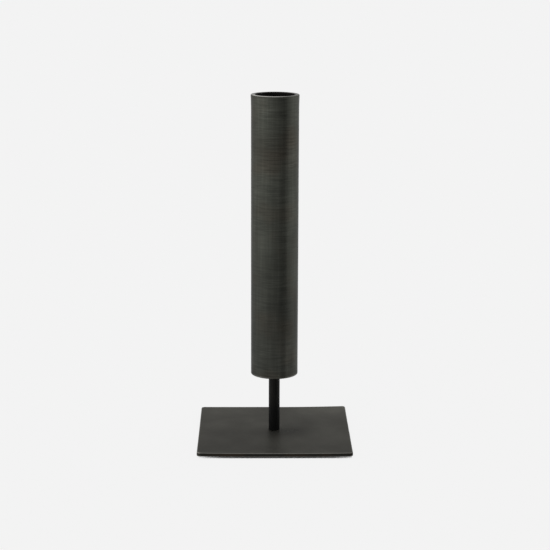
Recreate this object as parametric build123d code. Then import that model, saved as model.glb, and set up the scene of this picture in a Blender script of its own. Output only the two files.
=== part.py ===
from build123d import *

import os

# Slim candle holder: an upright tube on a thin rod on a square plate, for one 22 mm dinner candle.
# Millimetres. +Z is up, and the origin is the middle of the footprint, at the felt pads' underside.

# Tube
tube_outer_d = 26.9
tube_wall = 2.3
tube_length = 160.8
tube_foot_round = 0.4  # outer lower edge
tube_deburr = 0.3  # inner lower edge
rim_round = 0.5  # both edges of the rim
mouth_flare = 0.2  # how far the outside of the mouth stands out, per side
mouth_flare_length = 10.0
tube_inner_d = tube_outer_d - 2 * tube_wall

# Candle seat: a domed disc pressed flat, so that its edge spreads into a groove inside the tube
socket_depth = 30.0  # rim to seat
seat_thickness = 1.5
seat_groove_depth = 0.5
seat_clearance = 0.05  # between the seat's edge and the bottom of its groove

# Cap that closes the tube's lower end and carries the stem
cap_thickness = 3.0
cap_recess = 0.8  # how far the cap sits inside the tube's lower end
cap_edge_chamfer = 0.3

# Stem
stem_d = 6.35
stem_visible_length = 34.0  # plate to tube
stem_end_chamfer = 0.2

# Base plate
plate_side = 87.2
plate_thickness = 2.2
plate_corner_radius = 1.8
plate_top_round = 0.6
plate_bottom_round = 0.4

# Felt pads
pad_d = 12.0
pad_thickness = 0.8
pad_inset = 10.0  # pad centre to plate edge

# M3 screws. The threads are plain cylinders, with a little air between screw and tapped hole.
screw_d = 3.0
tapped_hole_d = 3.1
tapped_hole_depth = 9.0
clearance_hole_d = 3.2
base_screw_length = 8.0  # whole length, head included
base_screw_head_d = 5.5
cap_screw_length = 10.0  # under the head
cap_screw_head_d = 5.6
cap_screw_head_height = 2.4
cap_screw_head_round = 1.2
cross_span = 2.9
cross_width = 0.8
cross_depth = 1.2
washer_outer_d = 7.0
washer_thickness = 0.5

# Levels along Z, from the surface that the holder stands on
plate_bottom = pad_thickness
plate_top = plate_bottom + plate_thickness
tube_bottom = plate_top + stem_visible_length
rim = tube_bottom + tube_length
cap_bottom = tube_bottom + cap_recess
cap_top = cap_bottom + cap_thickness
washer_top = cap_top + washer_thickness
seat_top = rim - socket_depth
seat_bottom = seat_top - seat_thickness

# Turned shapes are placed by the middle of their lower end
by_lower_end = (Align.CENTER, Align.CENTER, Align.MIN)


def rod(diameter, bottom, top):
    """Plain round rod on the Z axis between two levels."""
    return Pos(0, 0, bottom) * Cylinder(diameter / 2, top - bottom, align=by_lower_end)


def top_and_bottom_circles(solid):
    """The circular edges at a turned solid's lowest and highest levels."""
    levels = solid.edges().filter_by(GeomType.CIRCLE).group_by(Axis.Z)
    return levels[0] + levels[-1]


def cross_recess(bottom, top):
    """Cutter for a screwdriver's cross, open at one of its two levels."""
    cross = Rectangle(cross_span, cross_width) + Rectangle(cross_width, cross_span)
    return Pos(0, 0, bottom) * extrude(cross, top - bottom)


def countersink(diameter, bottom):
    """90 degree cone, widest at its lower level, down to a point."""
    radius = diameter / 2
    return Pos(0, 0, bottom) * Cone(radius, 0, radius, align=by_lower_end)


def tube():
    """Tube with a rounded lower edge, a slightly belled mouth and a groove inside for the candle seat."""
    outer = tube_outer_d / 2
    inner = tube_inner_d / 2
    mouth = outer + mouth_flare
    groove = inner + seat_groove_depth
    up = (0, 1)
    foot_start = (outer - tube_foot_round, tube_bottom)
    foot_end = (outer, tube_bottom + tube_foot_round)
    flare_start = (outer, rim - mouth_flare_length)
    rim_outer_start = (mouth, rim - rim_round)
    rim_outer_end = (mouth - rim_round, rim)
    rim_inner_start = (inner, rim - rim_round)
    rim_inner_end = (inner + rim_round, rim)
    inside = Polyline(
        rim_inner_start,
        (inner, seat_top),
        (groove, seat_top),
        (groove, seat_bottom),
        (inner, seat_bottom),
        (inner, tube_bottom + tube_deburr),
        (inner + tube_deburr, tube_bottom),
        foot_start,
    )
    outline = [
        inside,
        TangentArc(foot_end, foot_start, tangent=(0, -1)),
        Line(foot_end, flare_start),
        TangentArc(flare_start, rim_outer_start, tangent=up),
        TangentArc(rim_outer_start, rim_outer_end, tangent=up),
        Line(rim_outer_end, rim_inner_end),
        TangentArc(rim_inner_start, rim_inner_end, tangent=up),
    ]
    section = make_face([Plane.XZ * edge for line in outline for edge in line.edges()])
    return revolve(section, Axis.Z)


def candle_seat():
    """Disc that stops the candle."""
    seat_d = tube_inner_d + 2 * (seat_groove_depth - seat_clearance)
    return rod(seat_d, seat_bottom, seat_top)


def tube_end_cap():
    """Disc pressed into the tube's lower end, with a hole for the screw that holds the stem."""
    disc = rod(tube_inner_d, cap_bottom, cap_top)
    disc = chamfer(top_and_bottom_circles(disc), cap_edge_chamfer)
    return disc - rod(clearance_hole_d, cap_bottom, cap_top)


def cap_washer():
    """Flat washer between the cap and the cap screw's head."""
    return rod(washer_outer_d, cap_top, washer_top) - rod(clearance_hole_d, cap_top, washer_top)


def cap_screw():
    """Pan head screw from inside the tube down into the stem."""
    head_top = washer_top + cap_screw_head_height
    head = rod(cap_screw_head_d, washer_top, head_top)
    head = fillet(head.edges().group_by(Axis.Z)[-1], cap_screw_head_round)
    shank = rod(screw_d, washer_top - cap_screw_length, washer_top)
    return head + shank - cross_recess(head_top - cross_depth, head_top)


def stem():
    """Round rod with a tapped hole in each end."""
    bar = rod(stem_d, plate_top, cap_bottom)
    bar = chamfer(top_and_bottom_circles(bar), stem_end_chamfer)
    lower_hole = rod(tapped_hole_d, plate_top, plate_top + tapped_hole_depth)
    upper_hole = rod(tapped_hole_d, cap_bottom - tapped_hole_depth, cap_bottom)
    return bar - lower_hole - upper_hole


def base_plate():
    """Square plate with softened edges, and a countersunk hole from below for the base screw."""
    outline = RectangleRounded(plate_side, plate_side, plate_corner_radius)
    plate = Pos(0, 0, plate_bottom) * extrude(outline, plate_thickness)
    plate = fillet(plate.edges().group_by(Axis.Z)[-1], plate_top_round)
    plate = fillet(plate.edges().group_by(Axis.Z)[0], plate_bottom_round)
    hole = rod(clearance_hole_d, plate_bottom, plate_top) + countersink(base_screw_head_d, plate_bottom)
    return plate - hole


def base_screw():
    """Countersunk screw from under the plate up into the stem."""
    shank = rod(screw_d, plate_bottom, plate_bottom + base_screw_length)
    head = countersink(base_screw_head_d, plate_bottom)
    return head + shank - cross_recess(plate_bottom, plate_bottom + cross_depth)


def felt_pads():
    """The four felt dots under the plate's corners, by name."""
    reach = plate_side / 2 - pad_inset
    pad = rod(pad_d, 0, pad_thickness)
    corners = {
        "front_left": (-reach, -reach),
        "front_right": (reach, -reach),
        "back_left": (-reach, reach),
        "back_right": (reach, reach),
    }
    return {f"felt_pad_{corner}": Pos(x, y, 0) * pad for corner, (x, y) in corners.items()}


nodes = {
    "tube": tube(),
    "candle_seat": candle_seat(),
    "tube_end_cap": tube_end_cap(),
    "cap_washer": cap_washer(),
    "cap_screw": cap_screw(),
    "stem": stem(),
    "base_plate": base_plate(),
    "base_screw": base_screw(),
    **felt_pads(),
}

os.makedirs("parts", exist_ok=True)
for name, shape in nodes.items():
    export_step(shape, f"parts/{name}.step")
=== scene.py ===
import math

import bmesh
import bpy
from mathutils import Matrix, Vector, noise


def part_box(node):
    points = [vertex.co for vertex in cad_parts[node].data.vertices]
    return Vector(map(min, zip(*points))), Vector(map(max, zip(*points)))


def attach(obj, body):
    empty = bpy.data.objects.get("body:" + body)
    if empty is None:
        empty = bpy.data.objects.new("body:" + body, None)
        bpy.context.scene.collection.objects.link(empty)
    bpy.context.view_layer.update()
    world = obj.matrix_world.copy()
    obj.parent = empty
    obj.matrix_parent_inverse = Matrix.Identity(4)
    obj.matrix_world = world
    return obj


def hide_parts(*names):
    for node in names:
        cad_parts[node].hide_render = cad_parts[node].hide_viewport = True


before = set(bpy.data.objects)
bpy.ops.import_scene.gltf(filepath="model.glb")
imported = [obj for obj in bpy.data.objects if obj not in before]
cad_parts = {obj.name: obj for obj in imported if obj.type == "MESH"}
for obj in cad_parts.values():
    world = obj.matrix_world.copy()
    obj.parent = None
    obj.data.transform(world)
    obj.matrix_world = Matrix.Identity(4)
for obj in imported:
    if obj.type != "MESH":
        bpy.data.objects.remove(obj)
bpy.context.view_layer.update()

# Everything is in metres, in the CAD model's frame. Sizes come from the CAD nodes' boxes, and the
# few that a box doesn't give are named here in millimetres.
MM = 0.001

tube_low, tube_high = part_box("tube")
_, cap_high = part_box("tube_end_cap")
seat_low, seat_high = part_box("candle_seat")
stem_low, stem_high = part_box("stem")
plate_low, plate_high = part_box("base_plate")
_, screw_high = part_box("base_screw")

mouth_flare = 0.2 * MM
mouth_flare_length = 10.0 * MM
rim_round = 0.5 * MM
tube_foot_round = 0.4 * MM
tube_deburr = 0.3 * MM
mouth_radius = tube_high.x
body_radius = mouth_radius - mouth_flare
bore_radius = cap_high.x

seat_groove_clearance = 0.05 * MM
seat_hollow = 0.3 * MM

plate_top_round = 0.6 * MM
plate_bottom_round = 0.4 * MM
plate_corner_radius = 1.8 * MM
plate_hole_radius = 1.6 * MM
countersink_clearance = 0.05 * MM

stem_chamfer = 0.2 * MM
tapped_hole_radius = 1.55 * MM
tapped_hole_depth = 9.0 * MM

felt_edge_round = 0.2 * MM
felt_nap = 0.04 * MM
felt_fuzz = 0.022  # as a share of the dot's radius

# The unevenness of hand-finished pieces: the tube's outside, the plate's top, and its outline as a
# share of its size
tube_unevenness = 0.035 * MM
plate_waviness = 0.04 * MM
plate_outline_wear = 0.002

# Points along a curve, around a turned piece, and between the plate's middle and its edge
ARC_STEPS = 6
TURN_STEPS = 192
PLATE_STEPS = 24


# ---------------------------------------------------------------- mesh helpers


def arc(centre, radius, start, end, steps=ARC_STEPS):
    """Points of an arc in a section, as (distance across, height). Angles in degrees."""
    angles = [math.radians(start + (end - start) * i / steps) for i in range(steps + 1)]
    return [(centre[0] + radius * math.cos(a), centre[1] + radius * math.sin(a)) for a in angles]


def between(start, end, spacing):
    """Evenly spaced points of a straight run, without its two ends."""
    length = math.dist(start, end)
    count = max(1, round(length / spacing))
    return [
        (start[0] + (end[0] - start[0]) * i / count, start[1] + (end[1] - start[1]) * i / count)
        for i in range(1, count)
    ]


def mesh_object(name, verts, faces, edge=None):
    """Links a smooth-shaded mesh object. edge is an optional number for each vertex: 1 where a rim or
    edge is rubbed bright and carries a painted highlight, 0 where the finish is whole, and -1 on a cut
    face painted dark with shade."""
    mesh = bpy.data.meshes.new(name)
    mesh.from_pydata(verts, [], faces)
    if edge:
        mesh.attributes.new("edge", "FLOAT", "POINT").data.foreach_set("value", edge)
    edit = bmesh.new()
    edit.from_mesh(mesh)
    bmesh.ops.remove_doubles(edit, verts=edit.verts, dist=1e-7)
    bmesh.ops.recalc_face_normals(edit, faces=edit.faces)
    edit.to_mesh(mesh)
    edit.free()
    mesh.shade_smooth()
    piece = bpy.data.objects.new(name, mesh)
    bpy.context.scene.collection.objects.link(piece)
    return piece


def skin(name, rings, closed, edge=None):
    """Joins rings of equally many points into one surface. closed joins the last ring to the first.
    edge is an optional number for each ring."""
    count = len(rings[0])
    verts = [p for ring in rings for p in ring]
    faces = []
    for i in range(len(rings) if closed else len(rings) - 1):
        here = i * count
        there = (i + 1) % len(rings) * count
        for j in range(count):
            k = (j + 1) % count
            faces.append((here + j, here + k, there + k, there + j))
    point_edge = [e for e in edge for _ in range(count)] if edge else None
    return mesh_object(name, verts, faces, point_edge)


def turned(name, section, closed, edge=None, steps=TURN_STEPS):
    """Turns a half-section around the Z axis."""
    angles = [math.tau * j / steps for j in range(steps)]
    rings = [[(r * math.cos(a), r * math.sin(a), z) for a in angles] for r, z in section]
    return skin(name, rings, closed, edge)


def sharpen(piece, degrees=30):
    """Keeps corners steeper than this angle crisp, where smooth shading would smear them."""
    piece.data.set_sharp_from_angle(angle=math.radians(degrees))


def ripple(point, pitch, seed):
    """Smooth repeatable noise from -1 to 1 at a point, with features about pitch across."""
    return noise.noise(Vector(point) / pitch + Vector((seed, seed * 1.7, seed * 2.3)))


# ---------------------------------------------------------------- pieces


def tube_section():
    """Closed half-section of the tube, from its foot up the outside, over the rim and down the inside.
    Gives the points, and an edge value for each."""
    groove_radius = seat_high.x + seat_groove_clearance
    bottom, rim = tube_low.z, tube_high.z
    flare_start = rim - mouth_flare_length
    flare_height = mouth_flare_length - rim_round
    wall = between((body_radius, bottom + tube_foot_round), (body_radius, flare_start), 0.8 * MM)
    steps = 12
    flare = [
        (body_radius + mouth_flare * (i / steps) ** 2, flare_start + flare_height * i / steps)
        for i in range(steps)
    ]
    foot_centre = (body_radius - tube_foot_round, bottom + tube_foot_round)
    outer_centre = (mouth_radius - rim_round, rim - rim_round)
    inner_centre = (bore_radius + rim_round, rim - rim_round)
    # Edge values: 1 on the rim's top, rubbed bright and carrying a painted highlight; 0.25 on the foot's
    # rounding, a faint painted highlight.
    sections = [
        (0.25, arc(foot_centre, tube_foot_round, -90, 0)),
        (0.0, wall),
        (0.0, flare),
        (0.0, arc(outer_centre, rim_round, 0, 45, 3)),
        (1.0, arc(outer_centre, rim_round, 60, 90, 2)),
        (1.0, arc(inner_centre, rim_round, 90, 105, 1)),
        (0.0, arc(inner_centre, rim_round, 120, 180, 4)),
        (0.0, between((bore_radius, rim - rim_round), (bore_radius, seat_high.z), 1.5 * MM)),
        (0.0, [(bore_radius, seat_high.z), (groove_radius, seat_high.z)]),
        (0.0, [(groove_radius, seat_low.z), (bore_radius, seat_low.z)]),
        (0.0, [(bore_radius, bottom + tube_deburr), (bore_radius + tube_deburr, bottom)]),
    ]
    points = [p for _, part in sections for p in part]
    edge = [value for value, part in sections for _ in part]
    return points, edge


def make_tube():
    """The upright tube. Its outside wall has the faint unevenness of hand-finished steel."""
    section, edge = tube_section()
    tube = turned("tube_body", section, closed=True, edge=edge)
    fade = 0.3 * MM
    for vertex in tube.data.vertices:
        radius = math.hypot(vertex.co.x, vertex.co.y)
        outside = min(1.0, max(0.0, (radius - body_radius + fade) / fade))
        depth = tube_unevenness * (1 + ripple(vertex.co, 14 * MM, 3)) / 2
        shrink = 1 - outside * depth / max(radius, bore_radius)
        vertex.co.x *= shrink
        vertex.co.y *= shrink
    sharpen(tube, 40)
    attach(tube, "root")
    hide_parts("tube")
    return tube


def make_stem():
    """The rod, chamfered at both ends, with its tapped hole in each end."""
    radius = stem_high.x
    bottom, top = stem_low.z, stem_high.z
    outside = between((radius, bottom + stem_chamfer), (radius, top - stem_chamfer), 1.5 * MM)
    section = [
        (0.0, bottom + tapped_hole_depth),
        (tapped_hole_radius, bottom + tapped_hole_depth),
        (tapped_hole_radius, bottom),
        (radius - stem_chamfer, bottom),
        (radius, bottom + stem_chamfer),
        *outside,
        (radius, top - stem_chamfer),
        (radius - stem_chamfer, top),
        (tapped_hole_radius, top),
        (tapped_hole_radius, top - tapped_hole_depth),
        (0.0, top - tapped_hole_depth),
    ]
    stem = turned("stem_rod", section, closed=False, steps=64)
    sharpen(stem, 30)
    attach(stem, "root")
    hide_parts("stem")
    return stem


def make_seat():
    """The candle seat: pressed nearly flat, so a shallow hollow is left in its middle."""
    radius = seat_high.x
    steps = 12
    top = [
        (radius * i / steps, seat_high.z - seat_hollow * (1 + math.cos(math.pi * i / steps)) / 2)
        for i in range(steps + 1)
    ]
    bottom = [(radius * i / steps, seat_low.z) for i in range(steps, -1, -1)]
    seat = turned("candle_stop", top + bottom, closed=False, steps=96)
    sharpen(seat, 40)
    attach(seat, "root")
    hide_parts("candle_seat")
    return seat


# How far each corner of the plate is bent up, by the signs of its X and Y, and how closely the bend
# keeps to that corner
CORNER_BEND = {
    (-1, -1): (0.40 * MM, 3.5),
    (1, -1): (0.32 * MM, 4.5),
    (-1, 1): (0.05 * MM, 2.5),
    (1, 1): (0.60 * MM, 2.0),
}


def plate_lift(x, y):
    """How far the hand-made plate stands above a flat one at a point."""
    half = plate_high.x
    lift, power = CORNER_BEND[1 if x > 0 else -1, 1 if y > 0 else -1]
    return lift * (abs(x / half) * abs(y / half)) ** power


def plate_outline(inset, side_steps=36, corner_steps=8):
    """Points of the rounded square, moved inwards by inset, anticlockwise from the +X side."""
    radius = max(plate_corner_radius - inset, 0.2 * MM)
    reach = plate_high.x - inset - radius
    points = []
    for turn in range(4):
        a = math.radians(90 * turn)
        for i in range(side_steps):
            along = -reach + 2 * reach * i / side_steps
            points.append((reach + radius, along, a))
        for i in range(corner_steps):
            b = math.radians(90 * i / corner_steps)
            points.append((reach + radius * math.cos(b), reach + radius * math.sin(b), a))
    return [(x * math.cos(a) - y * math.sin(a), x * math.sin(a) + y * math.cos(a)) for x, y, a in points]


def plate_rings():
    """Rings of the base plate with an edge value each, from the countersink out, over the top and in."""
    bottom, top = plate_low.z, plate_high.z
    sink_radius = screw_high.x + countersink_clearance
    cone_height = sink_radius - plate_hole_radius
    under = plate_outline(plate_bottom_round)
    over = plate_outline(plate_top_round)
    angles = [math.atan2(y, x) for x, y in over]

    def circle(radius, z):
        return [(radius * math.cos(a), radius * math.sin(a), z) for a in angles]

    def spread(outline, radius, share, z):
        """A ring between the hole's circle, at share 0, and the plate's outline, at share 1."""
        hole = radius * (1 - share)
        return [
            (x * share + hole * math.cos(a), y * share + hole * math.sin(a), z)
            for (x, y), a in zip(outline, angles)
        ]

    shares = [i / PLATE_STEPS for i in range(1, PLATE_STEPS)] + [0.98]
    rings = [(0.0, circle(sink_radius, bottom))]
    rings += [(0.0, spread(under, sink_radius, s, bottom)) for s in shares]
    curve = arc((plate_bottom_round, bottom + plate_bottom_round), plate_bottom_round, 270, 180)
    for inset, z in curve:
        rings.append((0.0, [(x, y, z) for x, y in plate_outline(inset)]))
    side_low = bottom + plate_bottom_round
    side_height = top - plate_top_round - side_low
    # The cut sides carry -1: painted dark with shade.
    for i in range(1, 4):
        z = side_low + side_height * i / 4
        rings.append((-1.0, [(x, y, z) for x, y in plate_outline(0)]))
    # Along the top rounding, from the side up: painted shade on its lower part, then wear and a painted
    # highlight.
    edge_values = (-1.0, -0.7, 0.4, 1.0, 1.0, 0.5, 0.0)
    curve = arc((plate_top_round, top - plate_top_round), plate_top_round, 180, 90)
    for value, (inset, z) in zip(edge_values, curve):
        rings.append((value, [(x, y, z) for x, y in plate_outline(inset)]))
    rings += [(0.0, spread(over, plate_hole_radius, s, top)) for s in reversed(shares)]
    rings.append((0.0, circle(plate_hole_radius, top)))
    rings.append((0.0, circle(plate_hole_radius, bottom + cone_height)))
    return rings


def make_plate():
    """The square foot, with softened edges and corners bent up a little by the shears."""
    rings = plate_rings()
    plate = skin("foot_plate", [ring for _, ring in rings], closed=True, edge=[e for e, _ in rings])
    for vertex in plate.data.vertices:
        x, y, _ = vertex.co
        away_from_stem = 1 - math.exp(-(x * x + y * y) / (12 * MM) ** 2)
        wave = plate_waviness * ripple((x, y, 0), 25 * MM, 5) * away_from_stem
        vertex.co.z += plate_lift(x, y) + wave
        pull = 1 - plate_outline_wear * (1 + ripple((x, y, 0), 9 * MM, 8)) / 2
        vertex.co.x *= pull
        vertex.co.y *= pull
    sharpen(plate, 40)
    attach(plate, "root")
    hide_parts("base_plate")
    return plate


def make_felt_pad(node):
    """One felt dot: a punched disc whose cut side is fuzzy and whose top follows the plate."""
    low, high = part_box(node)
    middle = (low + high) / 2
    radius = (high.x - low.x) / 2
    edge = felt_edge_round
    section = [
        (0.0, low.z),
        *between((0.0, low.z), (radius - edge, low.z), 0.8 * MM),
        *arc((radius - edge, low.z + edge), edge, -90, 0, 4),
        *between((radius, low.z + edge), (radius, high.z), 0.15 * MM),
        (radius, high.z),
        *between((radius, high.z), (0.0, high.z), 0.8 * MM),
        (0.0, high.z),
    ]
    pad = turned(node.replace("felt_pad", "felt_dot"), section, closed=False, steps=120)
    for vertex in pad.data.vertices:
        x, y, z = vertex.co
        reach = math.hypot(x, y) / radius
        fuzz = 1 - felt_fuzz * reach ** 8 * (1 + ripple((x + middle.x, y, z), 0.35 * MM, 4)) / 2
        nap = felt_nap * (1 + ripple((x, y + middle.y, z), 0.6 * MM, 6)) / 2
        share = (z - low.z) / (high.z - low.z)
        vertex.co.x = middle.x + x * fuzz
        vertex.co.y = middle.y + y * fuzz
        vertex.co.z = z + share * plate_lift(vertex.co.x, vertex.co.y) + (1 - share) * nap
    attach(pad, "root")
    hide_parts(node)
    return pad


# ---------------------------------------------------------------- materials


def add(tree, kind, inputs=None, **settings):
    """Adds a node, sets its properties, and fills its sockets with values or with other nodes' outputs."""
    node = tree.nodes.new(kind)
    for key, value in settings.items():
        setattr(node, key, value)
    for socket, value in (inputs or {}).items():
        if isinstance(value, bpy.types.NodeSocket):
            tree.links.new(value, node.inputs[socket])
        else:
            node.inputs[socket].default_value = value
    return node


def new_material(name):
    """A material with only a Principled shader and its output. Returns it, its tree and the shader."""
    material = bpy.data.materials.new(name)
    material.use_nodes = True
    tree = material.node_tree
    return material, tree, tree.nodes["Principled BSDF"]


def stretched_noise(tree, scale, detail=3.0, roughness=0.5, offset=(0, 0, 0)):
    """Noise in the object's own frame, with a separate frequency along X, Y and Z. Gives 0 to 1."""
    place = add(tree, "ShaderNodeTexCoord").outputs["Object"]
    moved = add(tree, "ShaderNodeMapping", {"Vector": place, "Scale": scale, "Location": offset})
    source = {"Vector": moved.outputs["Vector"], "Scale": 1.0, "Detail": detail, "Roughness": roughness}
    return add(tree, "ShaderNodeTexNoise", source).outputs["Fac"]


def remap(tree, value, low, high, to_low=0.0, to_high=1.0):
    """Spreads value from low..high over to_low..to_high with soft ends."""
    inputs = {"Value": value, "From Min": low, "From Max": high, "To Min": to_low, "To Max": to_high}
    return add(tree, "ShaderNodeMapRange", inputs, interpolation_type="SMOOTHSTEP").outputs["Result"]


def blend_colour(tree, factor, first, second):
    """Mixes two colours, each a value or another node's output."""
    node = add(tree, "ShaderNodeMix", data_type="RGBA")
    for socket, value in ((node.inputs[0], factor), (node.inputs[6], first), (node.inputs[7], second)):
        if isinstance(value, bpy.types.NodeSocket):
            tree.links.new(value, socket)
        else:
            socket.default_value = value
    return node.outputs[2]


def maths(tree, operation, first, second):
    """One arithmetic node on two numbers or outputs."""
    return add(tree, "ShaderNodeMath", {0: first, 1: second}, operation=operation).outputs["Value"]


def scaled(tree, colour, factor):
    """A colour made brighter or darker by a factor."""
    inputs = {0: colour, "Scale": factor}
    return add(tree, "ShaderNodeVectorMath", inputs, operation="SCALE").outputs["Vector"]


def object_height(tree):
    """Height above the surface that the holder stands on, in metres."""
    place = add(tree, "ShaderNodeTexCoord").outputs["Object"]
    return add(tree, "ShaderNodeSeparateXYZ", {"Vector": place}).outputs["Z"]


def inside_mask(tree):
    """1 on the tube's inner wall and 0 outside, from the distance to the axis."""
    place = add(tree, "ShaderNodeTexCoord").outputs["Object"]
    flat = add(tree, "ShaderNodeVectorMath", {0: place, 1: (1, 1, 0)}, operation="MULTIPLY")
    distance = add(tree, "ShaderNodeVectorMath", {0: flat.outputs["Vector"]}, operation="LENGTH")
    return remap(tree, distance.outputs["Value"], bore_radius + 0.5 * MM, bore_radius + 0.3 * MM)


def patches(tree, spots):
    """Brightness factor of the colour, 1 where it is plain; the spots carry tone and painted light and
    shade. Each spot is a soft ellipsoid: its middle and its half axes in millimetres, and how much
    brighter or darker the colour is at its middle."""
    place = add(tree, "ShaderNodeTexCoord").outputs["Object"]
    brightness = 1.0
    for middle, reach, change in spots:
        offset = {0: place, 1: [v * MM for v in middle]}
        away = add(tree, "ShaderNodeVectorMath", offset, operation="SUBTRACT").outputs["Vector"]
        size = {0: away, 1: [v * MM for v in reach]}
        away = add(tree, "ShaderNodeVectorMath", size, operation="DIVIDE").outputs["Vector"]
        distance = add(tree, "ShaderNodeVectorMath", {0: away}, operation="LENGTH").outputs["Value"]
        brightness = maths(tree, "ADD", brightness, remap(tree, distance, 1.0, 0.0, 0.0, change))
    return brightness


def edge_wear_and_highlight(tree, least, most, offset):
    """How far an edge is rubbed bright and carries a painted highlight: from least to most along it, and 0
    off the edge.
    """
    edge = add(tree, "ShaderNodeAttribute", attribute_name="edge").outputs["Fac"]
    edge_share = maths(tree, "MAXIMUM", edge, 0.0)
    broken = remap(tree, stretched_noise(tree, (45, 45, 45), offset=offset), 0.38, 0.58, least, most)
    return maths(tree, "MULTIPLY", edge_share, broken)


# Soft spots where the tube's colour is made lighter or darker, partly the patina's own tone and partly
# painted light: painted reflection in upright bands and on the front-left, painted shade around the
# tube's foot. Middle and half axes in millimetres, and the change
TUBE_TONE_AND_PAINTED_LIGHT = [
    ((-5, -12, 191), (14, 14, 15), 0.10),
    ((-5, -12, 154), (14, 14, 14), 0.08),
    ((-7, -12, 116), (12, 12, 9), 0.05),
    ((-4, -13, 76), (14, 14, 20), -0.15),
    ((10, -9, 60), (9, 9, 30), -0.12),
    ((5, -12, 45), (6, 6, 32), 0.35),
    ((9, -10, 45), (3.5, 5, 13), -0.26),
    ((-5, -12, 38), (8, 6, 7), -0.24),
    ((-4, -13, 68), (5, 6, 9), -0.12),
    ((4, -13, 94), (9, 6, 12), 0.12),
    ((12, -6, 72), (4, 7, 24), -0.09),
    ((-13, -4, 118), (5, 8, 24), 0.26),
    ((-13, -3, 38), (9, 9, 8), -0.35),
    ((13, -3, 38), (9, 9, 8), -0.35),
]


def tube_material():
    """Olive-grey patina on steel that was brushed around the tube: fine streaks that are faintest
    below the middle, soft clouds, a browner belt below the mouth, a darker lower end, spots of
    painted reflection and painted shade, an inner wall painted near black with shade, and a rim
    rubbed bright and carrying a painted highlight."""
    material, tree, shader = new_material("tube_patina")
    fine = stretched_noise(tree, (120, 120, 3000), detail=2.0)
    coarse = stretched_noise(tree, (90, 90, 1050), detail=3.0, offset=(3.1, 1.7, 0.4))
    drawn = stretched_noise(tree, (900, 900, 30), detail=2.0, offset=(0.7, 5.1, 2.2))
    cloud = stretched_noise(tree, (60, 60, 45), detail=1.0, offset=(11.2, 2.8, 11.1))
    faded = stretched_noise(tree, (110, 110, 110), detail=2.0, offset=(1.9, 4.6, 8.8))
    brown = stretched_noise(tree, (60, 60, 70), detail=3.0, offset=(1.3, 9.2, 2.6))
    height = object_height(tree)
    faintest = 0.66  # how strong the streaks are where they are faintest, below the middle

    colour = blend_colour(
        tree, remap(tree, height, 0.04, 0.17), (0.055, 0.057, 0.049, 1), (0.069, 0.072, 0.0605, 1)
    )
    belt = maths(
        tree, "MULTIPLY", remap(tree, height, 0.150, 0.165), remap(tree, height, 0.184, 0.169)
    )
    spots = remap(tree, brown, 0.45, 0.70, 0.0, 0.40)
    browned = maths(tree, "ADD", spots, maths(tree, "MULTIPLY", belt, 0.25))
    colour = blend_colour(tree, browned, colour, (0.068, 0.059, 0.046, 1))
    streaks = maths(tree, "ADD", maths(tree, "MULTIPLY", fine, 0.5), maths(tree, "MULTIPLY", coarse, 0.5))
    upper = remap(tree, height, 0.105, 0.165, faintest, 1.0)
    lower_end = remap(tree, height, 0.062, 0.050, 0.0, 1.0 - faintest)
    depth = maths(tree, "ADD", upper, lower_end)
    shown = maths(tree, "MULTIPLY", remap(tree, faded, 0.3, 0.6, 0.5, 1.0), depth)
    contrast = maths(tree, "MULTIPLY", shown, remap(tree, streaks, 0.40, 0.60, -0.20, 0.22))
    colour = scaled(tree, colour, maths(tree, "ADD", contrast, 1.0))
    colour = scaled(tree, colour, remap(tree, drawn, 0.40, 0.70, 0.97, 1.12))
    colour = scaled(tree, colour, remap(tree, cloud, 0.30, 0.70, 0.88, 1.12))
    # Spots of the patina's tone together with painted reflection and painted shade.
    colour = scaled(tree, colour, patches(tree, TUBE_TONE_AND_PAINTED_LIGHT))
    # The rim is partly worn bright and partly painted with a highlight.
    wear_and_highlight = edge_wear_and_highlight(tree, 0.10, 1.0, offset=(4.9, 1.4, 3.4))
    colour = blend_colour(tree, wear_and_highlight, colour, (0.60, 0.59, 0.55, 1))
    # The inner wall is painted near black: painted shade inside the bore.
    colour = blend_colour(tree, inside_mask(tree), colour, (0.014, 0.013, 0.012, 1))

    tree.links.new(colour, shader.inputs["Base Color"])
    tree.links.new(remap(tree, coarse, 0.3, 0.7, 0.34, 0.44), shader.inputs["Roughness"])
    shader.inputs["Metallic"].default_value = 0.85
    shader.inputs["Anisotropic"].default_value = 0.6
    shader.inputs["Anisotropic Rotation"].default_value = 0.25
    shader.inputs["Specular Tint"].default_value = (0.6, 0.6, 0.6, 1)
    relief = maths(tree, "MULTIPLY", maths(tree, "ADD", fine, coarse), shown)
    bump = {"Height": relief, "Strength": 0.25, "Distance": 0.02 * MM}
    tree.links.new(add(tree, "ShaderNodeBump", bump).outputs["Normal"], shader.inputs["Normal"])
    tangent = add(tree, "ShaderNodeTangent", direction_type="RADIAL", axis="Z")
    tree.links.new(tangent.outputs["Tangent"], shader.inputs["Tangent"])
    return material


# The same for the foot plate, all painted light: painted reflection light towards its back corners,
# painted shade dark around the stem, and a painted highlight on its front-left corner
PLATE_PAINTED_LIGHT = [
    ((34, 42, 3), (30, 34, 8), 0.70),
    ((-20, 40, 3), (34, 30, 8), 0.28),
    ((-32, 8, 3), (22, 20, 8), 0.12),
    ((14, 0, 3), (22, 18, 8), -0.22),
    ((3, -7, 3), (24, 18, 8), -0.30),
    ((-44, -44, 3), (4, 4, 3), 1.4),
]


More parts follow.
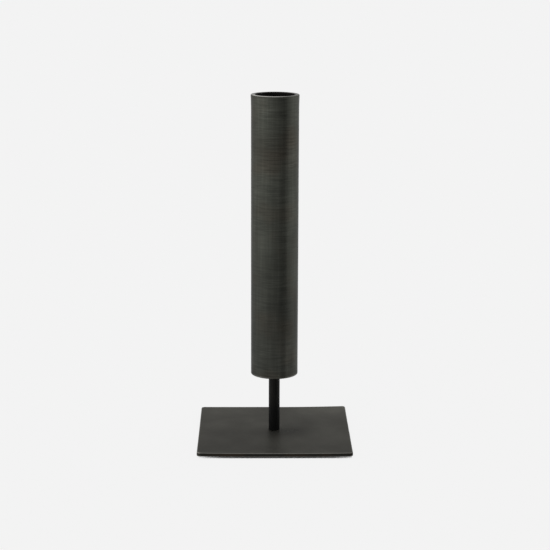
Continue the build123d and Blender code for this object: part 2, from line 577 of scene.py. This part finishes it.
def plate_material():
    """Warm dark grey patina with a soft sheen: cloudy, rubbed at the edges and carrying a painted
    highlight there, brown where it was cut, with painted shade darkening the cut sides, painted
    reflection lighter towards the back corners and painted shade around the stem.
    """
    material, tree, shader = new_material("plate_patina")
    cloud = stretched_noise(tree, (26, 26, 26), detail=3.0, offset=(2.4, 6.1, 1.2))
    mottle = stretched_noise(tree, (120, 120, 120), detail=4.0, offset=(0.4, 3.1, 6.2))
    grain = stretched_noise(tree, (5200, 900, 1800), detail=2.0)
    colour = blend_colour(
        tree, remap(tree, cloud, 0.35, 0.65), (0.070, 0.068, 0.059, 1), (0.098, 0.096, 0.084, 1)
    )
    colour = blend_colour(
        tree, remap(tree, mottle, 0.3, 0.7, 0.0, 0.16), colour, (0.030, 0.029, 0.025, 1)
    )
    colour = blend_colour(tree, remap(tree, grain, 0.3, 0.7, 0.0, 0.08), colour, (0.13, 0.128, 0.118, 1))
    # The cut sides are painted dark: painted shade, with a rusty brown tint mixed in.
    rust = stretched_noise(tree, (60, 60, 300), detail=3.0, offset=(5.0, 0.7, 3.3))
    cut_shade_colour = blend_colour(
        tree, remap(tree, rust, 0.42, 0.66), (0.020, 0.019, 0.016, 1), (0.036, 0.026, 0.018, 1)
    )
    edge = add(tree, "ShaderNodeAttribute", attribute_name="edge").outputs["Fac"]
    cut_side_shade = maths(tree, "MAXIMUM", maths(tree, "MULTIPLY", edge, -1.0), 0.0)
    colour = blend_colour(tree, cut_side_shade, colour, cut_shade_colour)
    # The plate's top edges are partly worn bright and partly painted with a highlight.
    wear_and_highlight = edge_wear_and_highlight(tree, 0.25, 0.65, offset=(3.1, 0.3, 8.2))
    colour = blend_colour(tree, wear_and_highlight, colour, (0.26, 0.255, 0.235, 1))
    # Painted reflection, painted shade and a painted corner highlight on the plate's colour.
    colour = scaled(tree, colour, patches(tree, PLATE_PAINTED_LIGHT))
    tree.links.new(colour, shader.inputs["Base Color"])
    tree.links.new(remap(tree, cloud, 0.3, 0.7, 0.42, 0.48), shader.inputs["Roughness"])
    shader.inputs["Metallic"].default_value = 0.7
    shader.inputs["Specular Tint"].default_value = (0.3, 0.3, 0.3, 1)
    bump = {"Height": grain, "Strength": 0.1, "Distance": 0.01 * MM}
    tree.links.new(add(tree, "ShaderNodeBump", bump).outputs["Normal"], shader.inputs["Normal"])
    return material


def stem_material():
    """Nearly black satin finish with faint draw marks along the rod, darker in its lower half."""
    material, tree, shader = new_material("stem_black")
    stem_middle = (stem_low.z + stem_high.z) / 2
    marks = stretched_noise(tree, (2200, 2200, 60), detail=2.0)
    cloud = stretched_noise(tree, (150, 150, 110), detail=3.0, offset=(4.4, 0.9, 7.7))
    colour = blend_colour(
        tree, remap(tree, marks, 0.3, 0.7), (0.012, 0.012, 0.011, 1), (0.022, 0.021, 0.019, 1)
    )
    colour = blend_colour(tree, remap(tree, cloud, 0.5, 0.7, 0.0, 0.4), colour, (0.026, 0.022, 0.018, 1))
    foot = remap(tree, object_height(tree), stem_middle + 3 * MM, stem_middle - 6 * MM, 0.0, 0.9)
    colour = blend_colour(tree, foot, colour, (0.010, 0.010, 0.010, 1))
    tree.links.new(colour, shader.inputs["Base Color"])
    tree.links.new(remap(tree, marks, 0.3, 0.7, 0.40, 0.52), shader.inputs["Roughness"])
    shader.inputs["Metallic"].default_value = 0.4
    shader.inputs["Specular Tint"].default_value = (0.2, 0.2, 0.2, 1)
    shader.inputs["Specular IOR Level"].default_value = 0.3
    bump = {"Height": marks, "Strength": 0.25, "Distance": 0.02 * MM}
    tree.links.new(add(tree, "ShaderNodeBump", bump).outputs["Normal"], shader.inputs["Normal"])
    return material


def inner_material():
    """Dark, dull, cloudy steel of the candle seat."""
    material, tree, shader = new_material("inner_steel")
    cloud = stretched_noise(tree, (220, 220, 220), detail=4.0)
    colour = blend_colour(
        tree, remap(tree, cloud, 0.35, 0.7), (0.030, 0.029, 0.027, 1), (0.060, 0.058, 0.052, 1)
    )
    tree.links.new(colour, shader.inputs["Base Color"])
    tree.links.new(remap(tree, cloud, 0.3, 0.7, 0.45, 0.65), shader.inputs["Roughness"])
    shader.inputs["Metallic"].default_value = 0.8
    return material


def zinc_material():
    """Zinc plated screws and washer, slightly yellowed and blotchy."""
    material, tree, shader = new_material("zinc_plate")
    blotch = stretched_noise(tree, (900, 900, 900), detail=3.0)
    colour = blend_colour(
        tree, remap(tree, blotch, 0.35, 0.7), (0.30, 0.29, 0.26, 1), (0.46, 0.44, 0.37, 1)
    )
    tree.links.new(colour, shader.inputs["Base Color"])
    tree.links.new(remap(tree, blotch, 0.3, 0.7, 0.28, 0.45), shader.inputs["Roughness"])
    shader.inputs["Metallic"].default_value = 0.95
    return material


def felt_material():
    """Black pressed felt: matt, with pale lint in it and a soft sheen at its edges."""
    material, tree, shader = new_material("black_felt")
    fibres = stretched_noise(tree, (1500, 5200, 2600), detail=4.0, roughness=0.7)
    lint = stretched_noise(tree, (4200, 1300, 3000), detail=4.0, roughness=0.7, offset=(5.5, 3.3, 1.1))
    colour = blend_colour(
        tree, remap(tree, fibres, 0.35, 0.7), (0.009, 0.009, 0.010, 1), (0.030, 0.030, 0.032, 1)
    )
    colour = blend_colour(tree, remap(tree, lint, 0.62, 0.75, 0.0, 0.6), colour, (0.09, 0.09, 0.09, 1))
    tree.links.new(colour, shader.inputs["Base Color"])
    tree.links.new(remap(tree, fibres, 0.3, 0.7, 0.88, 1.0), shader.inputs["Roughness"])
    shader.inputs["Sheen Weight"].default_value = 0.4
    shader.inputs["Sheen Roughness"].default_value = 0.5
    bump = {"Height": fibres, "Strength": 0.8, "Distance": 0.08 * MM}
    tree.links.new(add(tree, "ShaderNodeBump", bump).outputs["Normal"], shader.inputs["Normal"])
    return material


def paint(piece, material):
    """Puts one material in all of a piece's slots."""
    if not piece.data.materials:
        piece.data.materials.append(material)
    for place in piece.material_slots:
        place.material = material


# ---------------------------------------------------------------- studio

PAPER_WHITE = 0.896  # the backdrop's linear brightness
# Brightness of the studio seen from the object, by compass direction in degrees from the camera,
# positive to the camera's right: dark behind the camera, a softbox on each side, white sweep behind.
STUDIO_RING = [
    (-180, 0.80),
    (-140, 0.80),
    (-100, 0.95),
    (-62, 0.92),
    (-30, 0.66),
    (0, 0.50),
    (20, 0.40),
    (36, 0.22),
    (54, 0.23),
    (74, 0.78),
    (110, 0.95),
    (150, 0.80),
    (180, 0.80),
]


def make_world():
    """Soft studio surroundings. The camera itself sees plain backdrop paper in every direction."""
    world = bpy.data.worlds.new("studio")
    world.use_nodes = True
    tree = world.node_tree
    tree.nodes.clear()
    direction = add(tree, "ShaderNodeTexCoord").outputs["Generated"]
    parts = add(tree, "ShaderNodeSeparateXYZ", {"Vector": direction})
    toward_camera = maths(tree, "MULTIPLY", parts.outputs["Y"], -1.0)
    azimuth = maths(tree, "ARCTAN2", parts.outputs["X"], toward_camera)
    place = maths(tree, "ADD", maths(tree, "DIVIDE", azimuth, math.tau), 0.5)
    ramp = add(tree, "ShaderNodeValToRGB", {"Fac": place})
    ramp.color_ramp.interpolation = "EASE"
    points = ramp.color_ramp.elements
    while len(points) < len(STUDIO_RING):
        points.new(0.5)
    for point, (degrees, brightness) in zip(points, STUDIO_RING):
        point.position = degrees / 360 + 0.5
        point.color = (brightness, brightness, brightness, 1)
    surroundings = add(tree, "ShaderNodeBackground", {"Color": ramp.outputs["Color"], "Strength": 1.0})
    paper = add(tree, "ShaderNodeBackground", {"Color": (PAPER_WHITE,) * 3 + (1,), "Strength": 1.0})
    from_camera = add(tree, "ShaderNodeLightPath").outputs["Is Camera Ray"]
    mixed = add(
        tree,
        "ShaderNodeMixShader",
        {0: from_camera, 1: surroundings.outputs["Background"], 2: paper.outputs["Background"]},
    )
    add(tree, "ShaderNodeOutputWorld", {"Surface": mixed.outputs["Shader"]})
    bpy.context.scene.world = world


def make_floor():
    """Plain pale paper that the holder stands on. It shows only a breath of shadow."""
    reach = 12.0
    corners = [(-reach, -reach, 0), (reach, -reach, 0), (reach, reach, 0), (-reach, reach, 0)]
    floor = mesh_object("floor", corners, [(0, 1, 2, 3)])
    material = bpy.data.materials.new("backdrop_paper")
    material.use_nodes = True
    tree = material.node_tree
    tree.nodes.clear()
    open_above = add(tree, "ShaderNodeAmbientOcclusion", {"Distance": 1.35 * MM}, samples=8).outputs["AO"]
    lit = remap(tree, open_above, 0.44, 0.62, 0.0, 0.96)
    glow = add(tree, "ShaderNodeEmission", {"Color": (PAPER_WHITE,) * 3 + (1,), "Strength": lit})
    paper = add(tree, "ShaderNodeBsdfDiffuse", {"Color": (0.05, 0.05, 0.05, 1)})
    both = add(tree, "ShaderNodeAddShader", {0: glow.outputs["Emission"], 1: paper.outputs["BSDF"]})
    add(tree, "ShaderNodeOutputMaterial", {"Surface": both.outputs["Shader"]})
    paint(floor, material)
    floor.visible_glossy = False
    floor.visible_diffuse = False


def make_camera():
    """A long lens, a little above the holder and looking slightly down."""
    data = bpy.data.cameras.new("camera")
    data.sensor_width = 36.0
    data.lens = 105.6
    camera = bpy.data.objects.new("camera", data)
    camera.location = (-10.4 * MM, -897.0 * MM, 294.7 * MM)
    pitch, turn, roll = math.radians(12.56), math.radians(-0.68), math.radians(0.18)
    upright = Matrix.Rotation(turn, 3, "Z") @ Matrix.Rotation(math.radians(90) - pitch, 3, "X")
    camera.rotation_euler = (upright @ Matrix.Rotation(roll, 3, "Z")).to_euler()
    bpy.context.scene.collection.objects.link(camera)
    bpy.context.scene.camera = camera


# ---------------------------------------------------------------- build

bpy.context.scene.view_settings.view_transform = "Standard"

paint(make_tube(), tube_material())
plate_finish = plate_material()
paint(make_plate(), plate_finish)
paint(make_stem(), stem_material())
paint(make_seat(), inner_material())

felt = felt_material()
for node in sorted(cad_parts):
    if node.startswith("felt_pad"):
        paint(make_felt_pad(node), felt)

zinc = zinc_material()
for node in ("cap_washer", "cap_screw", "base_screw"):
    paint(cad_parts[node], zinc)
paint(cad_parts["tube_end_cap"], plate_finish)

make_world()
make_floor()
make_camera()
